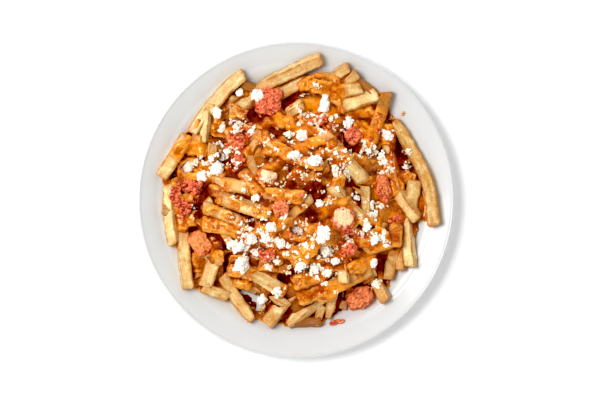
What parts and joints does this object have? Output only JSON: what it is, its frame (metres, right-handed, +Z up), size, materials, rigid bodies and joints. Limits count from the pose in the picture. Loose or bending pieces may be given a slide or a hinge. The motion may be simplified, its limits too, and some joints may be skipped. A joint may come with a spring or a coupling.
{
  "type": "dish of butter chicken poutine",
  "caption": "Round white plate heaped with thick-cut fries under orange curry sauce, with red chicken chunks and crumbled white cheese.",
  "frame": {"origin": "middle of the plate, on the surface that its foot ring stands on", "axes": "+Z up out of the plate, +Y away from the diner, towards the top of the picture, +X to the right"},
  "size_m": [0.27, 0.27, 0.0558],
  "materials": {
    "porcelain": "gloss",
    "sauced_fries": "satin",
    "chicken": "satin",
    "cheese": "matte"
  },
  "bodies": {
    "root": {"plate": "porcelain", "fries": "sauced_fries", "chicken_01": "chicken", "chicken_02": "chicken", "chicken_03": "chicken", "chicken_04": "chicken", "chicken_05": "chicken", "chicken_06": "chicken", "chicken_07": "chicken", "chicken_08": "chicken", "chicken_09": "chicken", "chicken_10": "chicken", "chicken_11": "chicken", "chicken_12": "chicken", "chicken_13": "chicken", "chicken_14": "chicken", "chicken_15": "chicken", "chicken_16": "chicken", "chicken_17": "chicken", "chicken_18": "chicken", "chicken_shred": "chicken", "cheese_01": "cheese", "cheese_02": "cheese", "cheese_03": "cheese", "cheese_04": "cheese", "cheese_05": "cheese", "cheese_06": "cheese", "cheese_07": "cheese", "cheese_08": "cheese", "cheese_09": "cheese", "cheese_10": "cheese", "cheese_11": "cheese", "cheese_12": "cheese", "cheese_13": "cheese", "cheese_14": "cheese", "cheese_15": "cheese", "cheese_16": "cheese", "cheese_17": "cheese", "cheese_18": "cheese", "cheese_19": "cheese", "cheese_20": "cheese", "cheese_21": "cheese", "cheese_22": "cheese", "cheese_23": "cheese", "cheese_24": "cheese", "cheese_25": "cheese", "cheese_26": "cheese", "cheese_27": "cheese", "cheese_28": "cheese", "cheese_29": "cheese", "cheese_30": "cheese", "cheese_31": "cheese"}
  },
  "joints": []
}
